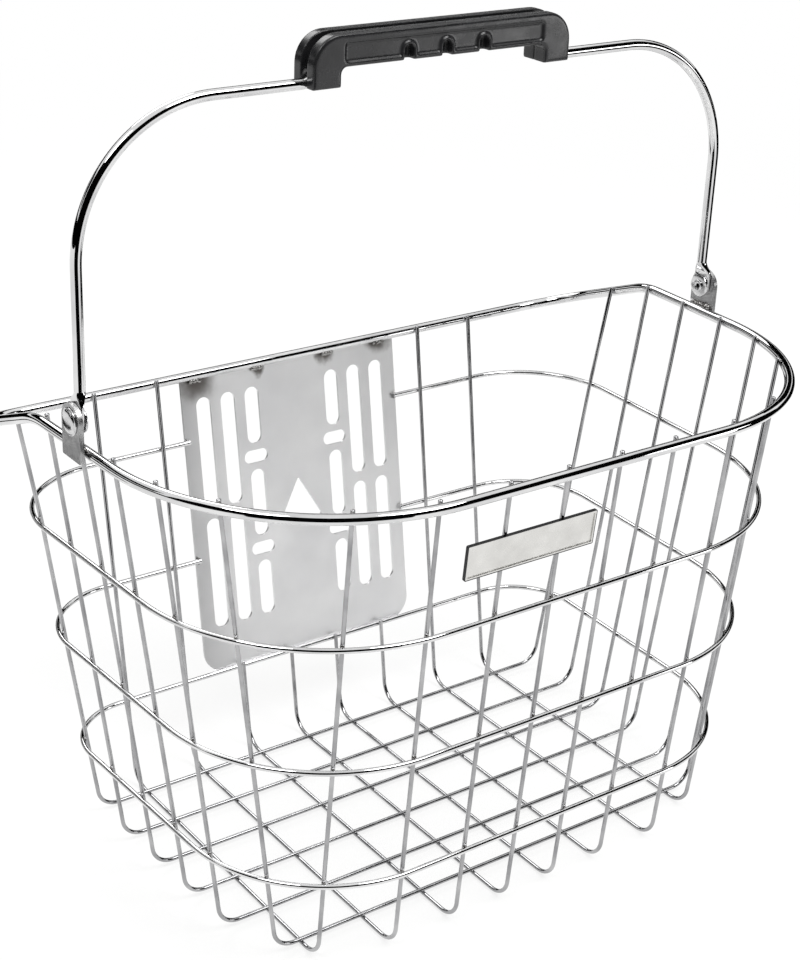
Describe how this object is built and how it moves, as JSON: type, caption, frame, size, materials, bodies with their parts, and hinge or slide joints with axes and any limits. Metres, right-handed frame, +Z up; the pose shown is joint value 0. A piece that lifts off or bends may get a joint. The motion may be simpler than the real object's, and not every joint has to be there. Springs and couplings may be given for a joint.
{
  "type": "handlebar basket",
  "caption": "Open wire bicycle basket with rounded corners, slotted mounting plate at the back and folding carry bail with a moulded grip.",
  "frame": {"origin": "centre of the basket's outline, at the height of the surface it stands on", "axes": "+Z up, -Y forward away from the rider, +Y towards the handlebar, +X to the left side of the bicycle"},
  "size_m": [0.361, 0.2418, 0.3884],
  "materials": {
    "polished_wire": "bright polished stainless steel wire",
    "grid_wire": "satin electropolished stainless steel wire",
    "brushed_plate": "brushed stainless steel sheet, heat-tinted near the welds",
    "brushed_nameplate": "fine brushed stainless steel sheet with a thin raised frame",
    "bracket_steel": "stamped stainless steel, lightly brushed",
    "weld_bead": "heat-tinted weld metal",
    "rivet_steel": "turned and polished steel",
    "grip_plastic": "black semi-gloss moulded plastic"
  },
  "bodies": {
    "basket": {"rim": "polished_wire", "ring_upper": "polished_wire", "ring_middle": "polished_wire", "ring_lower": "polished_wire", "front_back_wire_1": "grid_wire", "front_back_wire_2": "grid_wire", "front_back_wire_3": "grid_wire", "front_back_wire_4": "grid_wire", "front_back_wire_5": "grid_wire", "front_back_wire_6": "grid_wire", "front_back_wire_7": "grid_wire", "front_back_wire_8": "grid_wire", "cross_wire_1": "grid_wire", "cross_wire_2": "grid_wire", "cross_wire_3": "grid_wire", "cross_wire_4": "grid_wire", "cross_wire_5": "grid_wire", "cross_wire_6": "grid_wire", "mount_plate": "brushed_plate", "nameplate": "brushed_nameplate", "bracket_left": "bracket_steel", "bracket_right": "bracket_steel", "bracket_welds": "weld_bead", "plate_welds": "weld_bead", "pivot_rivets": "rivet_steel", "pivot_washers": "rivet_steel"},
    "bail": {"bail_wire": "polished_wire", "grip_front_half": "grip_plastic", "grip_rear_half": "grip_plastic"}
  },
  "joints": [
    {"name": "bail_fold", "type": "hinge", "parent": "basket", "child": "bail", "pos_m": [0, 0.00603, 0.241], "axis": [1, 0, 0], "range_deg": [-101, 90.5]}
  ]
}
